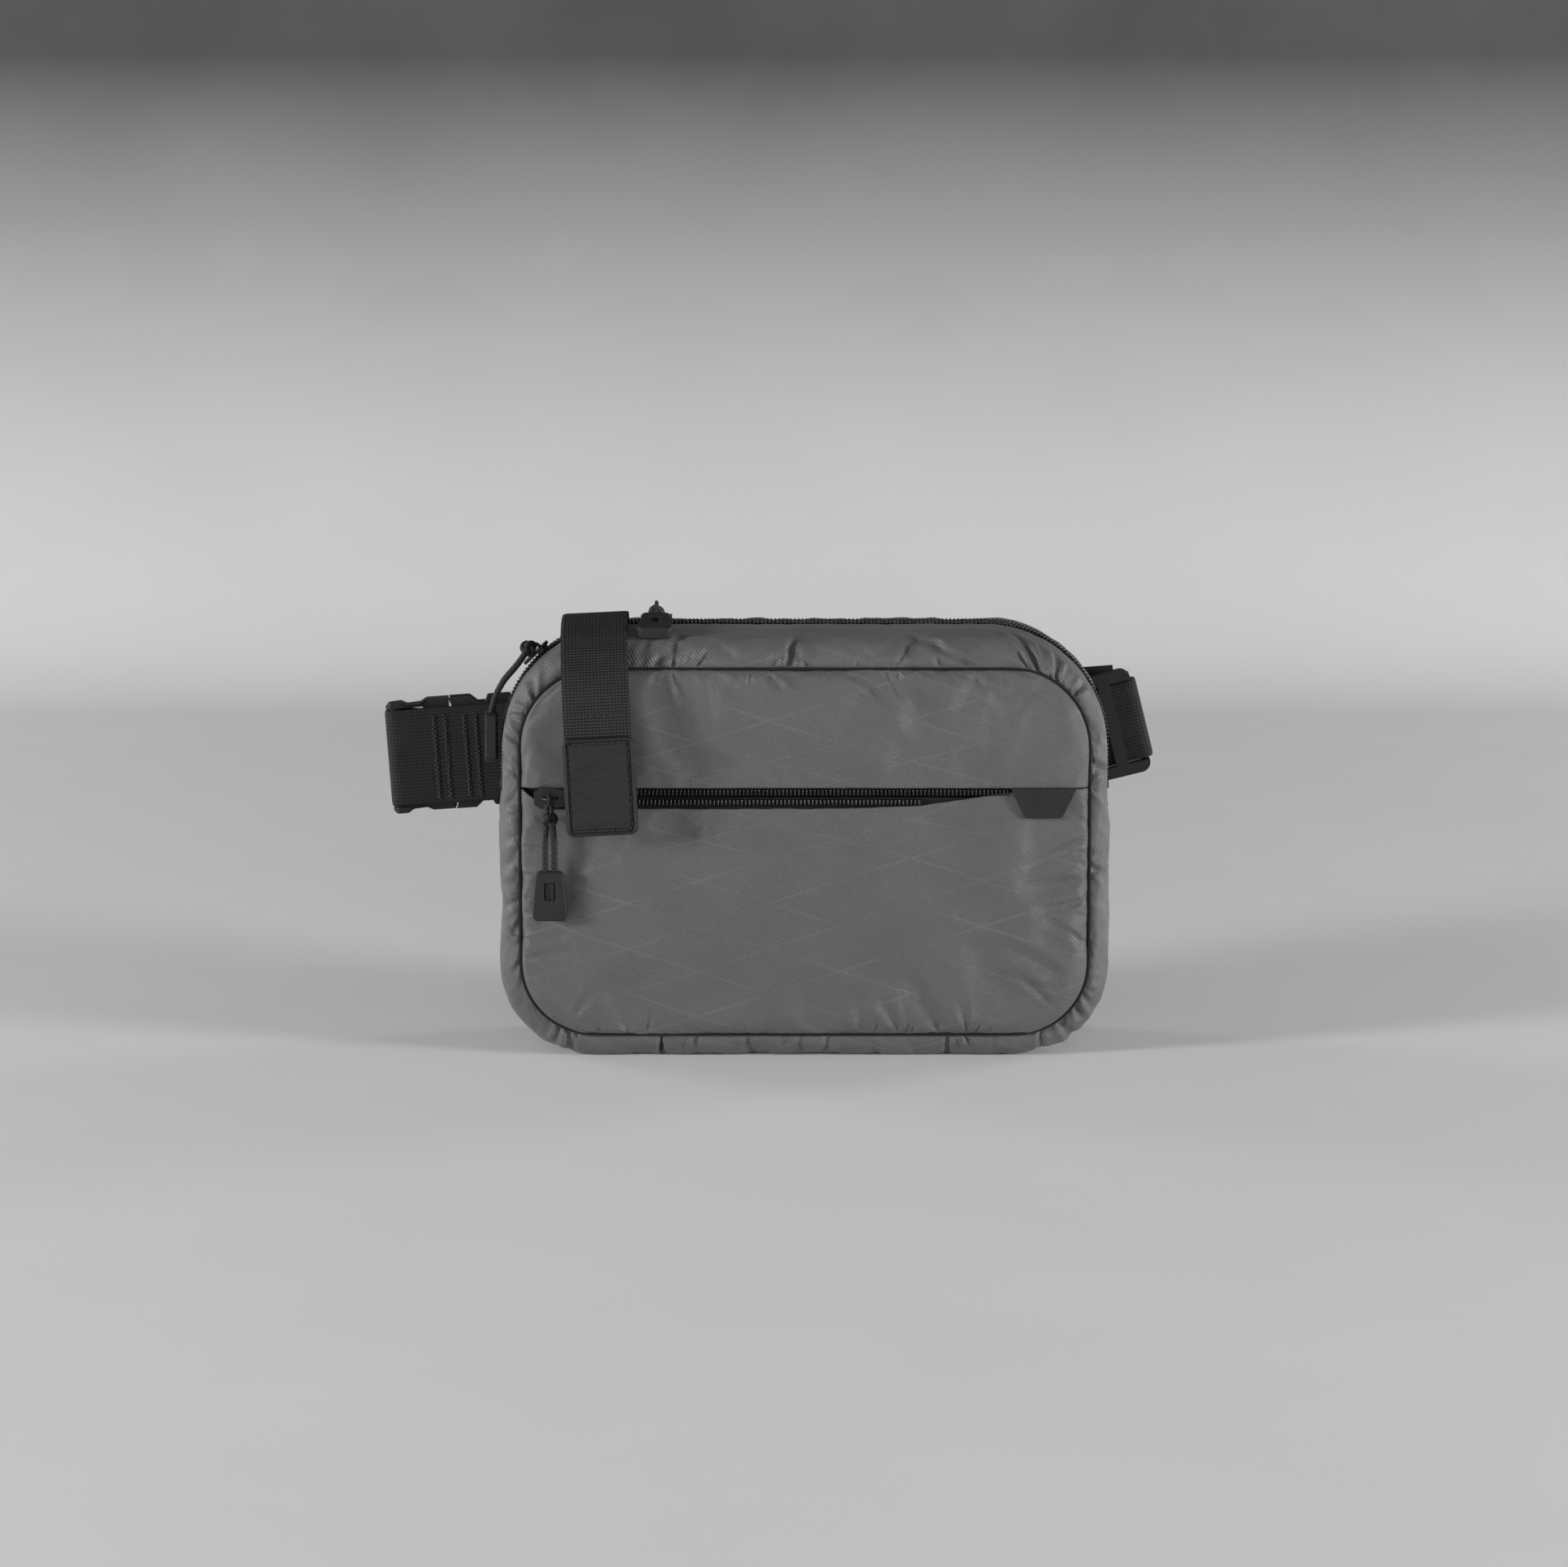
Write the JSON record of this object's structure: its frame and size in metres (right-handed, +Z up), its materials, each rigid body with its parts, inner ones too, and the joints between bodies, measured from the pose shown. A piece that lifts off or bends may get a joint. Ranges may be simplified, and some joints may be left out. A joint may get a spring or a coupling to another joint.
{
  "type": "throw rope bag",
  "caption": "Zipped waist pack in grey ripstop with a front zip pocket, grab handle on the packed rope sack inside, and a webbing belt with a side-release buckle and tri-glide.",
  "frame": {"origin": "on the ground under the middle of the main zip", "axes": "+X to the right as seen from the front panel, +Y from the front panel to the back panel, +Z up"},
  "size_m": [0.3038, 0.1001, 0.173],
  "materials": {
    "shell": "laminated ripstop cloth with a fine twill and a light diamond grid",
    "lining": "plain coated nylon and foam",
    "webbing": "ribbed polyester webbing",
    "tape": "woven zip tape",
    "coil": "nylon zip coil",
    "hardware": "fine-grained moulded acetal",
    "slider": "black painted die casting",
    "rubber": "soft moulded rubber",
    "cord": "braided cord",
    "rope": "braided floating rope"
  },
  "bodies": {
    "pack": {"back_panel": "shell", "side_gusset_left": "shell", "side_gusset_right": "shell", "top_gusset_front": "shell", "top_gusset_rear": "shell", "bottom_gusset": "shell", "front_panel_upper": "shell", "front_panel_lower": "shell", "back_pad": "lining", "pocket_liner": "lining", "throw_sack": "lining", "main_zip_tape_front": "tape", "main_zip_tape_rear": "tape", "pocket_zip_tape": "tape", "main_zip_coil_front": "coil", "main_zip_coil_rear": "coil", "main_zip_stops": "coil", "pocket_zip_coil": "coil", "zip_tag": "rubber", "throw_rope": "rope", "handle_tail": "webbing", "left_wing_webbing": "webbing", "belt_strap": "webbing", "right_wing_strap": "webbing", "buckle_male": "hardware"},
    "left_slider": {"main_slider_left": "slider"},
    "left_pull": {"main_left_pull_knot": "cord", "main_left_pull_cord": "cord", "main_left_pull_tab": "rubber"},
    "right_slider": {"main_slider_right": "slider"},
    "right_pull": {"main_right_pull_knot": "cord", "main_right_pull_cord": "cord", "main_right_pull_tab": "rubber"},
    "pocket_slider_body": {"pocket_slider": "slider"},
    "pocket_pull": {"pocket_pull_knot": "cord", "pocket_pull_cord": "cord", "pocket_pull_tab": "rubber"},
    "handle": {"handle_strap": "webbing", "handle_patch": "rubber"},
    "buckle_socket": {"buckle_female": "hardware", "belt_tail": "webbing"},
    "prong_upper": {"buckle_prong_upper": "hardware"},
    "prong_lower": {"buckle_prong_lower": "hardware"},
    "glide": {"tri_glide": "hardware"}
  },
  "joints": [
    {"name": "main_left_travel", "type": "hinge", "parent": "pack", "child": "left_slider", "pos_m": [-0.069, 0, 0.117], "axis": [0, -1, 0], "range_deg": [0, 38]},
    {"name": "main_left_pull", "type": "hinge", "parent": "left_slider", "child": "left_pull", "pos_m": [-0.10606, 0, 0.15538], "axis": [0, -1, 0], "range_deg": [-20.9, 0]},
    {"name": "main_right_travel", "type": "slide", "parent": "pack", "child": "right_slider", "axis": [1, 0, 0], "range_m": [0, 0.12]},
    {"name": "main_right_pull", "type": "hinge", "parent": "right_slider", "child": "right_pull", "pos_m": [-0.057, 0, 0.17035], "axis": [-1, 0, 0], "range_deg": [0, 195]},
    {"name": "pocket_travel", "type": "slide", "parent": "pack", "child": "pocket_slider_body", "axis": [1, 0, 0], "range_m": [0, 0.167]},
    {"name": "pocket_pull_swing", "type": "hinge", "parent": "pocket_slider_body", "child": "pocket_pull", "pos_m": [-0.097, -0.04235, 0.102], "axis": [-1, 0, 0], "range_deg": [0, 110]},
    {"name": "handle_lift", "type": "hinge", "parent": "pack", "child": "handle", "pos_m": [-0.07944, -0.0422, 0.14952], "axis": [-0.9988, 0, -0.0489], "range_deg": [0, 110]},
    {"name": "buckle_release", "type": "slide", "parent": "pack", "child": "buckle_socket", "axis": [0.9976, 0, 0.0698], "range_m": [0, 0.03]},
    {"name": "prong_upper_squeeze", "type": "hinge", "parent": "pack", "child": "prong_upper", "pos_m": [-0.13751, 0.0442, 0.12096], "axis": [0, 1, 0], "range_deg": [0, 6], "stiffness_Nm_per_rad": 0.2},
    {"name": "prong_lower_squeeze", "type": "hinge", "parent": "pack", "child": "prong_lower", "pos_m": [-0.13562, 0.0442, 0.09402], "axis": [0, -1, 0], "range_deg": [0, 6], "stiffness_Nm_per_rad": 0.2},
    {"name": "triglide_adjust", "type": "slide", "parent": "pack", "child": "glide", "axis": [-0.9703, 0, -0.2419], "range_m": [0, 0.02]}
  ],
  "couplings": [
    {"joint": "main_left_pull", "follows": "main_left_travel", "ratio": -0.55},
    {"joint": "prong_lower_squeeze", "follows": "prong_upper_squeeze", "ratio": 1}
  ]
}
